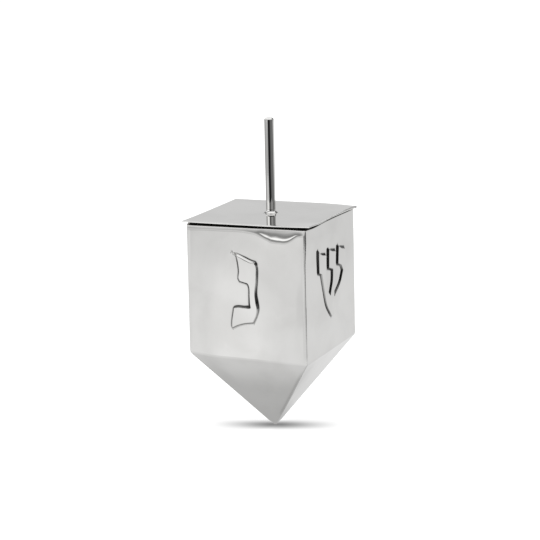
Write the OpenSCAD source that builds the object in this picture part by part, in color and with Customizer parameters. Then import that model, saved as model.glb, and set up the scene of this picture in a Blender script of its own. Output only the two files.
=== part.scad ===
// Dreidel: a hollow square sheet-metal case with a pyramid point, four raised
// game marks, and a lid with a spinning stem that lifts off.
// Origin: lowest point of the tip. +Z: spin axis, upwards. -Y: front (nun).

/* [Case] */
// Outside width of the square case
body_w = 32; // [30:0.5:36]
// Height of the walls, from the fold to the top of the rim
wall_h = 33; // [31:0.2:36]
// Depth of the point, from the fold to where its four planes meet
point_h = 21.8; // [18:0.2:26]
// How much of the sharp apex the rounded nose takes off
nose_cut = 0.45; // [0.4:0.05:0.6]
// Thickness of the sheet metal
sheet_t = 0.6; // [0.5:0.05:0.7]
// Outside radius of the upright edges
edge_r = 0.5; // [0.4:0.1:1.2]
// Outside radius of the bend between wall and point
fold_r = 2; // [1.4:0.1:3]
// Height of the bevel round the outside of the rim
rim_bevel = 0.45; // [0.3:0.05:0.5]
// Height at which the solid tip takes over from the sheets
tip_cut = 1.8; // [1.5:0.1:2.2]
// Height that the solder fills inside the point
tip_fill = 6; // [4:0.5:8]

/* [Marks] */
// How far the marks stand out of the walls
mark_h = 0.35; // [0.2:0.05:0.4]
// Size of the marks against the drawn outlines
mark_scale = 1; // [0.8:0.05:1.1]
// Height of the marks' middle above the middle of the wall
mark_rise = 0.15; // [0:0.05:0.5]

/* [Lid] */
// Width of the square lid plate
plate_w = 33.5; // [33:0.1:34]
// Thickness of the lid plate
plate_t = 0.5; // [0.4:0.05:0.8]
// Depth of the collar under the plate
collar_d = 6; // [4:0.5:6]
// Thickness of the collar
collar_t = 0.6; // [0.5:0.05:0.8]
// Gap between the collar and the walls, each side
collar_gap = 0.06; // [0.05:0.01:0.1]

/* [Stem] */
// Diameter of the stem
stem_d = 2.4; // [2.2:0.1:3]
// Height of the stem above the plate
stem_h = 24.1; // [20:0.1:28]
// Diameter of the tenon through the plate
tenon_d = 1.5; // [1.3:0.1:1.6]
// Diameter of the backing washer
washer_d = 5; // [4:0.5:8]
// Thickness of the backing washer
washer_t = 0.5; // [0.4:0.1:0.8]

/* [Hidden] */
$fn = 96;
half = body_w / 2;
fold_z = point_h - nose_cut;
rim_z = fold_z + wall_h;
plate_z = rim_z + plate_t;
mark_z = fold_z + wall_h / 2 + mark_rise;
slope = atan(half / point_h);           // of the point's faces, from upright
fold_t = fold_r * tan(slope / 2);       // from the fold to the bend's end
silver = [0.80, 0.80, 0.79];
silver_dark = [0.66, 0.66, 0.66];

// Half width of the point at height z, and of the space inside it
function outer_half(z) = (z + nose_cut) * half / point_h;
function inner_half(z) = outer_half(z) - sheet_t / cos(slope);

// Points of the bend, for a skin of radius r, from wall to point
function bend(r, n = 8) = [for (i = [0:n]) let (a = slope * i / n)
    [half - fold_r + r * cos(a), fold_z + fold_t - r * sin(a)]];
function flipped(p) = [for (i = [len(p) - 1:-1:0]) p[i]];

// Section of one bent sheet: wall, bend and point, with a bevelled rim
module sheet_section() {
    polygon(concat(
        [[half - rim_bevel, rim_z], [half, rim_z - rim_bevel]],
        bend(fold_r),
        [[outer_half(tip_cut), tip_cut], [inner_half(tip_cut), tip_cut]],
        flipped(bend(fold_r - sheet_t)),
        [[half - sheet_t, rim_z]]));
}

// Square column with round upright edges
module column(w, r, z0, z1) {
    translate([0, 0, z0]) linear_extrude(z1 - z0) {
        square([w, w - 2 * r], center = true);
        square([w - 2 * r, w], center = true);
        for (x = [-1, 1], y = [-1, 1])
            translate([x * (w / 2 - r), y * (w / 2 - r)]) circle(r);
    }
}

// The quarter of space that belongs to the front sheet
module quarter() {
    translate([0, 0, -2]) linear_extrude(rim_z + 4)
        polygon([[0, 0], [-body_w, -body_w], [body_w, -body_w]]);
}

// Outlines of the four marks, seen from outside, about the mark's middle
nun = [[-4.5, 9.8], [-3, 9.3], [-0.5, 8.3], [1.2, 7.6], [2.8, 7.3], [3.1, 6.7],
       [2.7, 6], [2.3, 3], [2, -0.5], [2.4, -2.8], [3.2, -4.2], [2.7, -6],
       [1.6, -7.9], [-1, -8.3], [-2.8, -8.9], [-4.3, -9.5], [-4.7, -9],
       [-4.1, -4.4], [-3.7, -4], [0.4, -3.9], [0.4, -1.5], [0.1, 1.5],
       [-0.3, 2.1], [-2.3, 2.5], [-2.6, 3.2], [-2.5, 5], [-2.7, 7.4], [-3.1, 9]];
gimel = [[-3.2, 9.8], [-1.8, 9.3], [0.7, 8.3], [2.4, 7.6], [3.9, 7.3], [4.2, 6.6],
         [3.8, 5.8], [3.5, 3], [3.4, -0.5], [3.8, -4], [4.4, -8.8], [3.9, -9.4],
         [1.9, -9.3], [1.5, -8.7], [1.4, -4.4], [0.9, -3.7], [-1.8, -7.6],
         [-3.2, -9.5], [-4.3, -9.4], [-4.9, -8.4], [-4.4, -6.8], [-1.6, -3.2],
         [1, -1], [1.1, 1.6], [0.7, 2.2], [-1.1, 2.6], [-1.5, 3.3],
         [-1.3, 5.2], [-1.5, 7.5]];
hei_roof = [[-6.8, 9.8], [-5.5, 9.1], [-2.5, 8.3], [2, 7.9], [5.6, 7.4], [6.4, 6.4],
            [6.1, 3], [5.7, -2], [5.9, -7.8], [5.3, -9.4], [3.4, -9.3], [2.9, -8.4],
            [3, -2.5], [3.3, 3], [2.9, 3.7], [-2, 4], [-5.2, 4.2], [-5.9, 5],
            [-6.1, 7.2]];
hei_leg = [[-5.6, 1.6], [-3.3, 1.2], [-2.9, 0.4], [-3.3, -4], [-3.5, -8.4],
           [-4.1, -9.4], [-5.7, -9.3], [-6.1, -8.5], [-5.8, -3.5]];
shin = [[-10.2, 9.8], [-9.2, 9], [-7.2, 8.4], [-4.8, 8], [-5, 4], [-4.7, 2],
        [-3.4, -1.4], [-1.4, -3.1], [-2, -1.6], [-0.6, 2.2], [-0.8, 3.5],
        [-2.9, 4], [-3.1, 9.2], [-1, 8.5], [1.8, 8], [1.7, 4], [2, 2],
        [1.4, -1], [1.2, -3.3], [5, -0.5], [6.6, 2.2], [5.6, 3.6], [3.4, 4],
        [3.6, 8.8], [5.4, 8.1], [8.6, 7.4], [8.8, 3.5], [8.2, -0.5], [6, -4.2],
        [2.5, -7], [-1.2, -8.4], [-2.8, -7.4], [-4.7, -5.1], [-6.5, -0.4],
        [-7.8, 3.3], [-10, 4]];

// The outlines given, as a slab that stands up from the front wall's depth d
module mark_slab(shapes, d, thick) {
    translate([0, -half + d, mark_z]) rotate([90, 0, 0]) linear_extrude(thick)
        for (s = shapes) polygon([for (q = s) q * mark_scale]);
}

// One sheet of the case, mitred at its corners, its mark raised from behind
module panel(shapes, turn) {
    color(silver) rotate([0, 0, turn]) {
        difference() {
            union() {
                intersection() {
                    rotate([90, 0, -90]) translate([0, 0, -body_w])
                        linear_extrude(2 * body_w) sheet_section();
                    column(body_w, edge_r, -1, rim_z + 1);
                    quarter();
                }
                mark_slab(shapes, sheet_t / 2, sheet_t / 2 + mark_h);
            }
            mark_slab(shapes, sheet_t + 0.5, 0.5 + mark_h);
        }
    }
}

module panel_nun() { panel([nun], 0); }
module panel_shin() { panel([shin], 90); }
module panel_hei() { panel([hei_roof, hei_leg], 180); }
module panel_gimel() { panel([gimel], 270); }

// Solder run down the four inside corners, below the collar
module corner_solder() {
    q = half - sheet_t;
    color(silver_dark)
    for (a = [0:90:270]) rotate([0, 0, a])
        translate([0, 0, fold_z + 2]) linear_extrude(wall_h - collar_d - 4)
            polygon([[q, q], [q - 1, q], [q, q - 1]]);
}

// Solid tip: fills the point inside, and ends in a rounded nose
module tip_plug() {
    module section() {
        polygon([[-inner_half(tip_fill), tip_fill], [inner_half(tip_fill), tip_fill],
                 [inner_half(tip_cut), tip_cut], [outer_half(tip_cut), tip_cut],
                 [0, -nose_cut], [-outer_half(tip_cut), tip_cut],
                 [-inner_half(tip_cut), tip_cut]]);
    }
    color(silver)
    intersection() {
        rotate([90, 0, 0]) translate([0, 0, -10]) linear_extrude(20) section();
        rotate([90, 0, 90]) translate([0, 0, -10]) linear_extrude(20) section();
        union() {
            translate([0, 0, 0.7]) sphere(0.7);
            translate([0, 0, 0.3]) cylinder(h = 10, r1 = 0.57, r2 = 18);
        }
    }
}

// Square lid plate that overhangs the case all round
module lid_plate() {
    color(silver)
    difference() {
        translate([-plate_w / 2, -plate_w / 2, rim_z]) cube([plate_w, plate_w, plate_t]);
        translate([0, 0, rim_z - 1]) cylinder(h = plate_t + 2, r = tenon_d / 2);
    }
}

// Square collar under the plate, a sliding fit in the mouth of the case
module lid_collar() {
    w = body_w - 2 * sheet_t - 2 * collar_gap;
    color(silver_dark)
    difference() {
        column(w, 1, rim_z - collar_d, rim_z);
        column(w - 2 * collar_t, 0.5, rim_z - collar_d - 1, rim_z + 1);
    }
}

// Stem: round rod with a domed top, a slightly spread foot and a riveted tenon
module stem() {
    r = stem_d / 2;
    t = tenon_d / 2;
    low = rim_z - washer_t;
    color(silver)
    rotate_extrude()
        polygon(concat(
            [[0, low - 0.6], [t + 0.3, low - 0.6], [t + 0.8, low - 0.3], [t + 0.8, low],
             [t, low], [t, plate_z], [r + 0.1, plate_z], [r, plate_z + 0.8]],
            [for (a = [0:15:75]) [r * cos(a), plate_z + stem_h - 0.5 + 0.5 * sin(a)]],
            [[0, plate_z + stem_h]]));
}

// Flared ring of solder at the foot of the stem
module stem_fillet() {
    r = stem_d / 2;
    color(silver)
    translate([0, 0, plate_z]) rotate_extrude()
        polygon([[r + 0.1, 0], [r + 0.8, 0], [r + 0.45, 0.12], [r + 0.2, 0.35],
                 [r + 0.08, 0.8], [r, 0.8]]);
}

// Washer behind the plate, under the riveted end of the tenon
module stem_washer() {
    color(silver_dark)
    translate([0, 0, rim_z - washer_t]) difference() {
        cylinder(h = washer_t, r = washer_d / 2);
        translate([0, 0, -1]) cylinder(h = washer_t + 2, r = tenon_d / 2);
    }
}

panel_nun();
panel_shin();
panel_gimel();
panel_hei();
corner_solder();
tip_plug();
lid_plate();
lid_collar();
stem();
stem_fillet();
stem_washer();
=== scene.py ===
import math

import bpy
import numpy as np
from mathutils import Matrix, Vector
from mathutils.geometry import delaunay_2d_cdt


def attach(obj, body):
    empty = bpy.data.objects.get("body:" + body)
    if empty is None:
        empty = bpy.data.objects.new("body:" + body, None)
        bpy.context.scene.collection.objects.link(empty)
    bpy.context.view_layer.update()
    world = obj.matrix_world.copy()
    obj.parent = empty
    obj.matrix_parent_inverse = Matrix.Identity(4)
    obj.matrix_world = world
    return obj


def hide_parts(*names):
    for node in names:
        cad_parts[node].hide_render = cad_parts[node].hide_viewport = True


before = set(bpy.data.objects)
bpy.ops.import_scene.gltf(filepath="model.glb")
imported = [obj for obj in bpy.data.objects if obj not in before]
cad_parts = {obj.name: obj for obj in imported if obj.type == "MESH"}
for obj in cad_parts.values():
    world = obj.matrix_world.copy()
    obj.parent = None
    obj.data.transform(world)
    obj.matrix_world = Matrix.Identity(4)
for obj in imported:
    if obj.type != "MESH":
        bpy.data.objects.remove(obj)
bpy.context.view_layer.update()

MM = 0.001
PI = math.pi

# --------------------------------------------------------------------------
# Sizes, in millimetres
HALF, WALL, POINT, NOSE = 16.0, 33.0, 21.8, 0.45
SHEET, FOLD_R, TIP_CUT, TIP_FILL = 0.6, 1.3, 1.8, 6.0
FOLD_Z = POINT - NOSE
RIM_Z = FOLD_Z + WALL
PLATE_W, PLATE_T = 33.5, 0.5
PLATE_Z = RIM_Z + PLATE_T
PLATE_TURN = 1.1    # degrees that the plate sits turned on the case
STEM_R, STEM_TOP = 1.2, PLATE_Z + 24.1
MARK_Z = FOLD_Z + WALL / 2 + 0.15
SLOPE = math.atan2(HALF, POINT)
FOLD_T = FOLD_R * math.tan(SLOPE / 2)
RIM_R = 0.08        # rounding of the rim's outer edge


def ss(a, b, x):
    t = np.clip((np.asarray(x, float) - a) / (b - a), 0, 1)
    return t * t * (3 - 2 * t)


# --------------------------------------------------------------------------
# Node helpers
class Tree:
    def __init__(self, tree):
        self.t = tree
        tree.nodes.clear()

    def node(self, kind, **props):
        n = self.t.nodes.new(kind)
        for k, v in props.items():
            setattr(n, k, v)
        return n

    def put(self, socket, value):
        if isinstance(value, bpy.types.NodeSocket):
            self.t.links.new(value, socket)
        else:
            socket.default_value = value

    def math(self, op, a, b=None, c=None, clamp=False):
        n = self.node("ShaderNodeMath", operation=op, use_clamp=clamp)
        for i, v in enumerate((a, b, c)):
            if v is not None:
                self.put(n.inputs[i], v)
        return n.outputs[0]

    def step(self, x, a, b, lo=0.0, hi=1.0):
        n = self.node("ShaderNodeMapRange", interpolation_type="SMOOTHSTEP")
        for i, v in enumerate((x, a, b, lo, hi)):
            self.put(n.inputs[i], v)
        return n.outputs[0]

    def noise(self, vector, scale, detail=3.0, rough=0.5, distort=0.0):
        n = self.node("ShaderNodeTexNoise")
        self.put(n.inputs["Vector"], vector)
        n.inputs["Scale"].default_value = scale
        n.inputs["Detail"].default_value = detail
        n.inputs["Roughness"].default_value = rough
        n.inputs["Distortion"].default_value = distort
        return n.outputs["Fac"]

    def mapped(self, vector, scale, rot=(0, 0, 0)):
        n = self.node("ShaderNodeMapping")
        self.put(n.inputs["Vector"], vector)
        n.inputs["Scale"].default_value = scale
        n.inputs["Rotation"].default_value = rot
        return n.outputs[0]

    def mix(self, fac, a, b):
        n = self.node("ShaderNodeMix", data_type="RGBA")
        self.put(n.inputs[0], fac)
        self.put(n.inputs[6], a)
        self.put(n.inputs[7], b)
        return n.outputs[2]

    def bump(self, height, strength, distance, normal=None):
        n = self.node("ShaderNodeBump")
        n.inputs["Strength"].default_value = strength
        n.inputs["Distance"].default_value = distance
        self.put(n.inputs["Height"], height)
        if normal is not None:
            self.put(n.inputs["Normal"], normal)
        return n.outputs[0]

    def ramp(self, x, stops, lo, hi):
        """Levels given as (position, level), read at x; levels may reach 2."""
        f = self.node("ShaderNodeMapRange")
        for i, v in enumerate((x, lo, hi, 0.0, 1.0)):
            self.put(f.inputs[i], v)
        r = self.node("ShaderNodeValToRGB")
        e = r.color_ramp.elements
        while len(e) > 1:
            e.remove(e[-1])
        for i, (p, v) in enumerate(stops):
            q = (p - lo) / (hi - lo)
            s = e[0] if i == 0 else e.new(q)
            s.position = q
            s.color = (v / 2, v / 2, v / 2, 1)
        self.put(r.inputs[0], f.outputs[0])
        return self.math("MULTIPLY", r.outputs[0], 2.0)


def material(name):
    m = bpy.data.materials.new(name)
    m.use_nodes = True
    t = Tree(m.node_tree)
    out = t.node("ShaderNodeOutputMaterial")
    b = t.node("ShaderNodeBsdfPrincipled")
    t.t.links.new(b.outputs[0], out.inputs[0])
    return m, t, b


def polished(name, light=(0.675, 0.672, 0.662, 1), dull=(0.61, 0.606, 0.595, 1), rough=0.035,
             turned=False):
    """Mirror-polished silver: faint tarnish, buffing lines and worn edges; its dark attribute turns it near-black, both
    as patina in hollows and as painted shade.
    """
    m, t, b = material(name)
    obj = t.node("ShaderNodeTexCoord").outputs["Object"]
    oxide_and_shade = t.node("ShaderNodeAttribute", attribute_name="oxide_and_painted_shade").outputs["Fac"]
    edge = t.node("ShaderNodeAttribute", attribute_name="edge").outputs["Fac"]
    cloud = t.noise(obj, 70.0, 4.0, 0.55, 0.3)
    base = t.mix(t.step(cloud, 0.36, 0.72), light, dull)
    # near-black where the attribute says: patina in hollows, and painted shade on bevels, edges and rings
    dark = t.math("MULTIPLY", oxide_and_shade, 1.0, clamp=True)
    base = t.mix(dark, base, (0.022, 0.021, 0.020, 1))
    t.put(b.inputs["Base Color"], base)
    b.inputs["Metallic"].default_value = 1.0
    smear = t.noise(t.mapped(obj, (1.0, 1.0, 0.25) if not turned else (0.3, 0.3, 1.6)), 420.0, 3.0, 0.6)
    r = t.math("MULTIPLY_ADD", t.step(smear, 0.45, 0.8), 0.028, rough)
    r = t.math("MULTIPLY_ADD", t.step(cloud, 0.5, 0.8), 0.022, r)
    r = t.math("MULTIPLY_ADD", edge, 0.13, r)
    r = t.math("MULTIPLY_ADD", dark, 0.28, r, clamp=True)
    t.put(b.inputs["Roughness"], r)
    lines = t.noise(t.mapped(obj, (5.0, 5.0, 0.5) if not turned else (0.25, 0.25, 9.0), (0.05, 0.03, 0)),
                    900.0, 2.0, 0.55)
    n = t.bump(lines, 0.035, 0.00002)
    n = t.bump(t.noise(obj, 260.0, 1.0), 0.05, 0.00002, n)
    t.put(b.inputs["Normal"], n)
    return m


def satin(name, colour, shade, rough, grain, stretch, painted_shade_above=None):
    """Brushed or as-soldered metal, with stains. The last argument paints it near-black above a height in metres, as
    painted shade.
    """
    m, t, b = material(name)
    obj = t.node("ShaderNodeTexCoord").outputs["Object"]
    tarnish_and_painted_shade = t.noise(obj, 160.0, 4.0, 0.6, 0.4)
    base = t.mix(t.step(tarnish_and_painted_shade, 0.35, 0.7), colour, shade)
    shade_band = None
    if painted_shade_above:
        # painted shade: near-black above the given height
        z = t.node("ShaderNodeSeparateXYZ")
        t.put(z.inputs[0], obj)
        wander = t.math("MULTIPLY_ADD", tarnish_and_painted_shade, 0.0006, z.outputs[2])
        shade_band = t.step(wander, painted_shade_above[0], painted_shade_above[1])
        base = t.mix(shade_band, base, (0.010, 0.010, 0.009, 1))
    t.put(b.inputs["Base Color"], base)
    b.inputs["Metallic"].default_value = 1.0
    brush = t.noise(t.mapped(obj, stretch), grain, 3.0, 0.6)
    r = t.math("MULTIPLY_ADD", brush, 0.16, rough)
    if shade_band is not None:
        r = t.math("MULTIPLY_ADD", shade_band, 0.3, r)
    t.put(b.inputs["Roughness"], r)
    t.put(b.inputs["Normal"], t.bump(brush, 0.25, 0.00004))
    return m


SILVER = polished("silver_polished")
SILVER_TURNED = polished("silver_turned", rough=0.04, turned=True)
INSIDE = satin("silver_inside", (0.52, 0.51, 0.49, 1), (0.36, 0.345, 0.32, 1), 0.30, 700.0, (4, 4, 0.4))
# the collar is painted near-black at its top, as painted shade in the gap under the plate
BRUSHED = satin("silver_brushed", (0.58, 0.575, 0.56, 1), (0.43, 0.42, 0.40, 1), 0.24, 800.0,
                (0.3, 0.3, 5.0), (0.0531, 0.0536))
WASHER = satin("washer_brushed", (0.55, 0.545, 0.53, 1), (0.40, 0.39, 0.37, 1), 0.26, 900.0, (4, 4, 1))
SOLDER = satin("solder_dull", (0.46, 0.455, 0.44, 1), (0.27, 0.265, 0.25, 1), 0.36, 500.0, (1, 1, 1))

# --------------------------------------------------------------------------
# Camera
AZ, EL, ROLL = math.radians(23.45), math.radians(11.55), math.radians(1.2526)
away = Vector((math.sin(AZ) * math.cos(EL), -math.cos(AZ) * math.cos(EL), math.sin(EL)))
right = (-away).cross(Vector((0, 0, 1))).normalized()
upward = right.cross(-away)
aim = Vector((0, 0, 0.03755)) + right * -0.0005615 + upward * 0.002576
cam = bpy.data.objects.new("camera", bpy.data.cameras.new("camera"))
bpy.context.scene.collection.objects.link(cam)
cr = math.cos(ROLL) * right - math.sin(ROLL) * upward
cu = math.sin(ROLL) * right + math.cos(ROLL) * upward
place = Matrix((cr, cu, away)).transposed().to_4x4()
place.translation = aim + away * 0.6
cam.matrix_world = place
cam.data.sensor_width = 36.0
cam.data.lens = 36.0 * 2379.66 / 540
cam.data.clip_start, cam.data.clip_end = 0.05, 20.0
bpy.context.scene.camera = cam

# --------------------------------------------------------------------------
# Marks on the walls: outlines about the mark's middle, seen from outside.
# Each point has the bevel's width there, how dark its foot is (patina in the crease, deepened as painted shade), and
# how dark the bevel is (painted shade).
NUN = [(-3.97, 9.53, .28, .12, 0), (-2.66, 9.12, .56, .5, 0), (-0.4, 8.13, .80, .9, .1),
       (1.25, 7.48, .80, .9, .15), (2.3, 7.34, .52, .9, .5), (2.62, 6.85, .42, 1, .8),
       (2.76, 6.4, .34, .15, 0), (2.86, 5.9, .34, .3, .1), (2.84, 5.2, .36, .7, .3),
       (2.73, 3.03, .36, .7, .3), (2.35, -0.48, .46, 1, .8),
       (2.61, -2.79, .66, 1, 1), (2.85, -4.22, .5, .8, .5), (2.46, -6.02, .36, .6, .25),
       (1.58, -7.8, .36, .6, .1), (-1, -8.22, .36, .55, .2), (-2.8, -8.8, .34, .5, .1),
       (-4.16, -9.49, .30, .45, 0), (-4.27, -8.97, .30, .8, 0), (-3.67, -4.52, .34, .85, .2),
       (-3.33, -4.23, .46, 1, .8), (-0.6, -4.1, .50, 1, .9), (0.77, -4.05, .80, 1, 1), (0.70, -3.2, .52, 1, 1),
       (0.67, -1.48, .42, 1, .6),
       (0.5, 1.53, .40, .95, .4), (0.18, 1.95, .43, 1, .6), (-1.82, 2.43, .38, .85, .35),
       (-2.17, 3.15, .36, .7, .25), (-2.01, 5.03, .38, .95, .4), (-2.27, 7.43, .36, .95, .4),
       (-2.62, 8.88, .34, .6, 0)]
NUN = [(u + 0.22, *rest) for u, *rest in NUN]       # stands a touch to the right on its wall
SHIN = [(-8.5, 9.62, .40, .9, .8), (-7.3, 8.62, .34, .1, 0), (-6.5, 8.33, .46, .3, .2), (-5.85, 8.14, .54, 1, 1),
        (-3.6, 7.74, .56, 1, 1), (-3.4, 7.42, .3, .2, .1), (-3.8, 3.83, .3, .1, 0), (-3.6, 1.86, .3, .15, 0),
        (-2.6, -1.5, .3, .15, 0), (-1.15, -2.98, .44, .9, .9), (-0.8, -1.99, .48, 1, 1),
        (0.3, 0.38, .50, 1, 1), (0.6, 3.25, .48, .9, .8), (-2.0, 4, .54, 1, 1), (-1.85, 8.9, .46, 1, 1),
        (-0.6, 8.32, .4, .3, .1), (0.25, 8.1, .62, 1, 1), (2.7, 7.66, .66, 1, 1), (2.9, 7.35, .3, .2, .1),
        (2.45, 3.86, .3, .1, 0),
        (2.55, 1.91, .3, .1, 0), (1.7, -1.03, .3, .15, 0), (1.45, -3.7, .40, .9, .8),
        (5.45, -0.8, .42, 1, .9), (7.15, 1.8, .54, 1, 1), (6.35, 3.21, .40, .6, .4),
        (4.1, 3.96, .52, 1, 1), (4.5, 8.56, .46, 1, 1), (5.7, 8.0, .4, .3, .1), (6.4, 7.74, .64, 1, 1),
        (8.8, 7.22, .68, 1, 1), (8.95, 6.85, .3, .2, .1), (8.95, 3.49, .3, .15, 0), (8.55, -0.58, .3, .12, 0),
        (6.2, -4.24, .3, .1, 0), (2.87, -7.08, .3, .12, 0), (-0.3, -8.65, .34, .6, .3),
        (-1.6, -7.33, .36, .95, .7), (-3.4, -5.3, .34, .9, .5), (-5.25, -0.59, .32, .7, .35),
        (-6.55, 3.24, .34, .7, .4), (-8.35, 3.85, .56, 1, 1)]
GIMEL = [(-3.2, 9.8), (-1.8, 9.3), (0.7, 8.3), (2.4, 7.6), (3.9, 7.3), (4.2, 6.6), (3.8, 5.8),
         (3.5, 3), (3.4, -0.5), (3.8, -4), (4.4, -8.8), (3.9, -9.4), (1.9, -9.3), (1.5, -8.7),
         (1.4, -4.4), (0.9, -3.7), (-1.8, -7.6), (-3.2, -9.5), (-4.3, -9.4), (-4.9, -8.4),
         (-4.4, -6.8), (-1.6, -3.2), (1, -1), (1.1, 1.6), (0.7, 2.2), (-1.1, 2.6), (-1.5, 3.3),
         (-1.3, 5.2), (-1.5, 7.5)]
HEI_ROOF = [(-6.8, 9.8), (-5.5, 9.1), (-2.5, 8.3), (2, 7.9), (5.6, 7.4), (6.4, 6.4), (6.1, 3),
            (5.7, -2), (5.9, -7.8), (5.3, -9.4), (3.4, -9.3), (2.9, -8.4), (3, -2.5), (3.3, 3),
            (2.9, 3.7), (-2, 4), (-5.2, 4.2), (-5.9, 5), (-6.1, 7.2)]
HEI_LEG = [(-5.6, 1.6), (-3.3, 1.2), (-2.9, 0.4), (-3.3, -4), (-3.5, -8.4), (-4.1, -9.4),
           (-5.7, -9.3), (-6.1, -8.5), (-5.8, -3.5)]


def dressed(points):
    """Gives a plain outline the bevels that the drawn ones have, by which way each edge faces; bevels that face right
    get darker painted shade.
    """
    p = np.array(points, float)
    n = len(p)
    out = []
    for i in range(n):
        e = p[(i + 1) % n] - p[i - 1]
        e /= np.hypot(*e)
        nx, ny = -e[1], e[0]            # outward, as these outlines run clockwise
        w = 0.38 + 0.34 * max(ny, 0) ** 2 + 0.18 * abs(nx)
        out.append((p[i][0], p[i][1], w, 0.6 + 0.2 * abs(nx), 0.25 + 0.35 * max(nx, 0)))
    return out


def outline(points, step=0.17, corner=38.0):
    """Closed curve through the points, smooth where they turn gently and crisp at corners."""
    p = np.array(points, float)
    n = len(p)
    xy = p[:, :2]
    fwd = np.roll(xy, -1, 0) - xy
    length = np.hypot(fwd[:, 0], fwd[:, 1])
    unit = fwd / length[:, None]
    back = np.roll(unit, 1, 0)
    turn = np.degrees(np.abs(np.arctan2(back[:, 0] * unit[:, 1] - back[:, 1] * unit[:, 0],
                                        (back * unit).sum(1))))
    mean = back + unit
    mean /= np.maximum(np.hypot(mean[:, 0], mean[:, 1]), 1e-6)[:, None]
    rows = []
    for i in range(n):
        j = (i + 1) % n
        t0 = unit[i] if turn[i] > corner else mean[i]
        t1 = unit[i] if turn[j] > corner else mean[j]
        k = max(2, int(math.ceil(length[i] / step)))
        for q in np.arange(k) / k:
            h00, h10 = 2 * q**3 - 3 * q**2 + 1, q**3 - 2 * q**2 + q
            h01, h11 = -2 * q**3 + 3 * q**2, q**3 - q**2
            pos = h00 * xy[i] + h10 * length[i] * t0 + h01 * xy[j] + h11 * length[i] * t1
            rows.append([*pos, *(p[i, 2:] * (1 - q) + p[j, 2:] * q)])
    return np.array(rows)


class Mark:
    """Signed distance to a set of outlines, with the bevel's figures at the nearest point."""

    def __init__(self, shapes):
        self.curves = [outline(s) for s in shapes]

    def near(self, u, v):
        u, v = np.asarray(u, float).ravel(), np.asarray(v, float).ravel()
        d = np.full(len(u), 9.0)
        f = np.zeros((len(u), 3))
        f[:, 0] = 0.4
        todo = np.nonzero((np.abs(u) < 13) & (np.abs(v) < 12.5))[0]
        for c in self.curves:
            a = c[:, :2]
            e = np.roll(a, -1, 0) - a
            g = c[:, 2:]
            g2 = np.roll(g, -1, 0)
            ee = (e * e).sum(1)
            for lo in range(0, len(todo), 2500):
                k = todo[lo:lo + 2500]
                px = u[k][:, None] - a[:, 0]
                py = v[k][:, None] - a[:, 1]
                q = np.clip((px * e[:, 0] + py * e[:, 1]) / ee, 0, 1)
                dx, dy = px - q * e[:, 0], py - q * e[:, 1]
                dd = dx * dx + dy * dy
                i = dd.argmin(1)
                r = np.arange(len(k))
                dist = np.sqrt(dd[r, i])
                y0, y1 = a[:, 1], np.roll(a[:, 1], -1)
                x0, x1 = a[:, 0], np.roll(a[:, 0], -1)
                cross = (y0 > v[k][:, None]) != (y1 > v[k][:, None])
                with np.errstate(divide="ignore", invalid="ignore"):
                    xi = (x1 - x0) * (v[k][:, None] - y0) / (y1 - y0) + x0
                inside = (cross & (u[k][:, None] < xi)).sum(1) % 2 == 1
                s = np.where(inside, -dist, dist)
                qq = q[r, i][:, None]
                fig = g[i] * (1 - qq) + g2[i] * qq
                better = s < d[k]
                kk = k[better]
                d[kk] = s[better]
                f[kk] = fig[better]
        return d, f

    def isolines(self):
        """Points along the outlines at set distances, where the mesh needs them."""
        out = []
        for c in self.curves:
            xy, w = c[:, :2], c[:, 2]
            t = np.roll(xy, -1, 0) - np.roll(xy, 1, 0)
            t /= np.hypot(t[:, 0], t[:, 1])[:, None]
            area = 0.5 * np.sum(xy[:, 0] * np.roll(xy[:, 1], -1) - np.roll(xy[:, 0], -1) * xy[:, 1])
            nrm = np.stack([t[:, 1], -t[:, 0]], 1) * (1 if area > 0 else -1)
            for j, k in enumerate((-0.62, -0.5, -0.36, -0.22, -0.08, 0.08, 0.22, 0.36, 0.5, 0.62)):
                off = k * w
                p = xy + nrm * off[:, None]
                out.append(np.column_stack([p, off])[(j % 2)::1])
            for off in (0.16, 0.3):
                p = xy + nrm * (0.62 * w + off)[:, None]
                out.append(np.column_stack([p, 0.62 * w + off])[::2])
            p = xy - nrm * (0.62 * w + 0.2)[:, None]
            out.append(np.column_stack([p, -0.62 * w - 0.2])[::2])
        q = np.concatenate(out)
        d, _ = self.near(q[:, 0], q[:, 1])
        q = q[np.abs(d - q[:, 2]) < 0.05]
        return q[:, :2]


# --------------------------------------------------------------------------
# The case's skin. m runs down the section from the rim's inner edge to the tip;
# t runs across the wall from its middle.
FLAT_W = SHEET - RIM_R - 0.03
M0 = FLAT_W
M1 = M0 + RIM_R * PI / 2
M2 = M1 + WALL - RIM_R - FOLD_T
M3 = M2 + FOLD_R * SLOPE
W3 = HALF - FOLD_R + FOLD_R * math.cos(SLOPE)
Z3 = FOLD_Z + FOLD_T - FOLD_R * math.sin(SLOPE)
M4 = M3 + (Z3 - TIP_CUT) / math.cos(SLOPE)


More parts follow.
